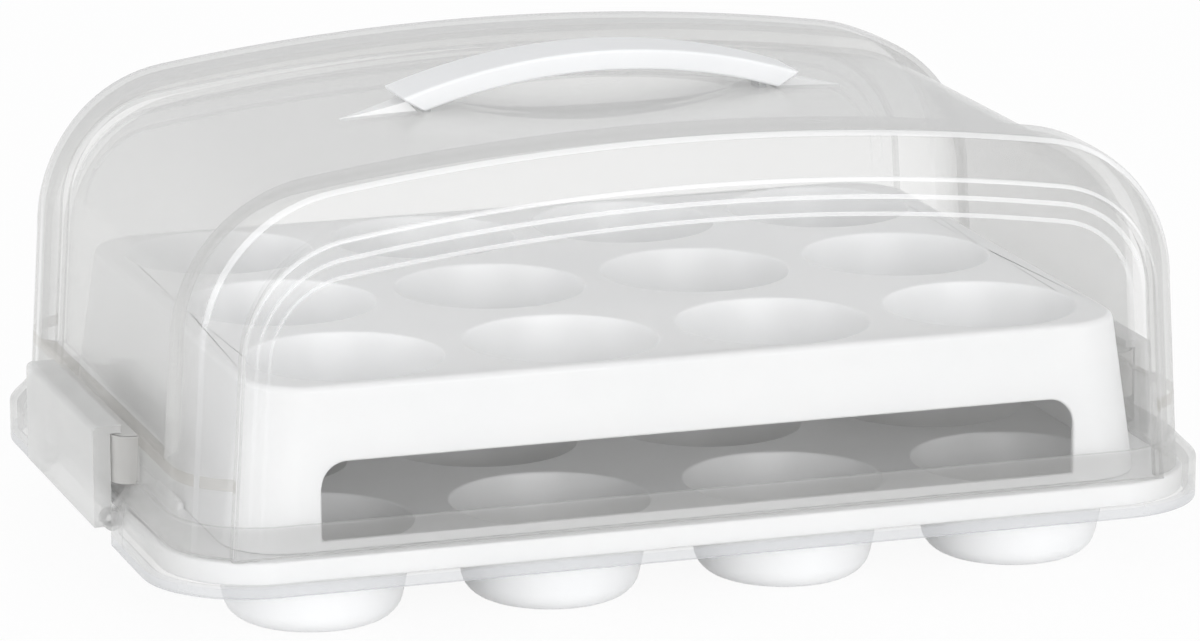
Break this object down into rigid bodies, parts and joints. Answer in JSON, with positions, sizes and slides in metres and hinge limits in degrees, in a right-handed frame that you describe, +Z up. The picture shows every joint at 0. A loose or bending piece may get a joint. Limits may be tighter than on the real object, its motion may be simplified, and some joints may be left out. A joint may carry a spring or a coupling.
{
  "type": "cake carrier",
  "caption": "Two-tier cupcake carrier: white cup trays under a smoke-clear arched lid with a bridge handle, held on the rim by swinging end clips.",
  "frame": {"origin": "centre of the bounding box's base, on the table the cup bottoms stand on", "axes": "+X along the long side towards the right-hand clip, +Y towards the back, +Z up"},
  "size_m": [0.386, 0.2572, 0.1717],
  "materials": {
    "tray_white": "satin moulded",
    "upper_white": "satin moulded",
    "lid_smoke": "clear, faintly smoky, polished",
    "handle_white": "satin moulded",
    "clip_left_smoke": "clear, faintly smoky, polished",
    "clip_right_smoke": "clear, faintly smoky, polished"
  },
  "bodies": {
    "base": {"base_tray": "tray_white"},
    "tray": {"upper_tray": "upper_white"},
    "cover": {"lid": "lid_smoke", "handle": "handle_white"},
    "left_clip": {"clip_left": "clip_left_smoke"},
    "right_clip": {"clip_right": "clip_right_smoke"}
  },
  "joints": [
    {"name": "lid_lift", "type": "slide", "parent": "base", "child": "cover", "axis": [0, 0, 1], "range_m": [0, 0.2]},
    {"name": "tray_lift", "type": "slide", "parent": "base", "child": "tray", "axis": [0, 0, 1], "range_m": [0, 0.03]},
    {"name": "clip_left_swing", "type": "hinge", "parent": "base", "child": "left_clip", "pos_m": [-0.1865, 0, 0.0289], "axis": [0, -1, 0], "range_deg": [0, 95]},
    {"name": "clip_right_swing", "type": "hinge", "parent": "base", "child": "right_clip", "pos_m": [0.1865, 0, 0.0289], "axis": [0, 1, 0], "range_deg": [0, 95]}
  ]
}
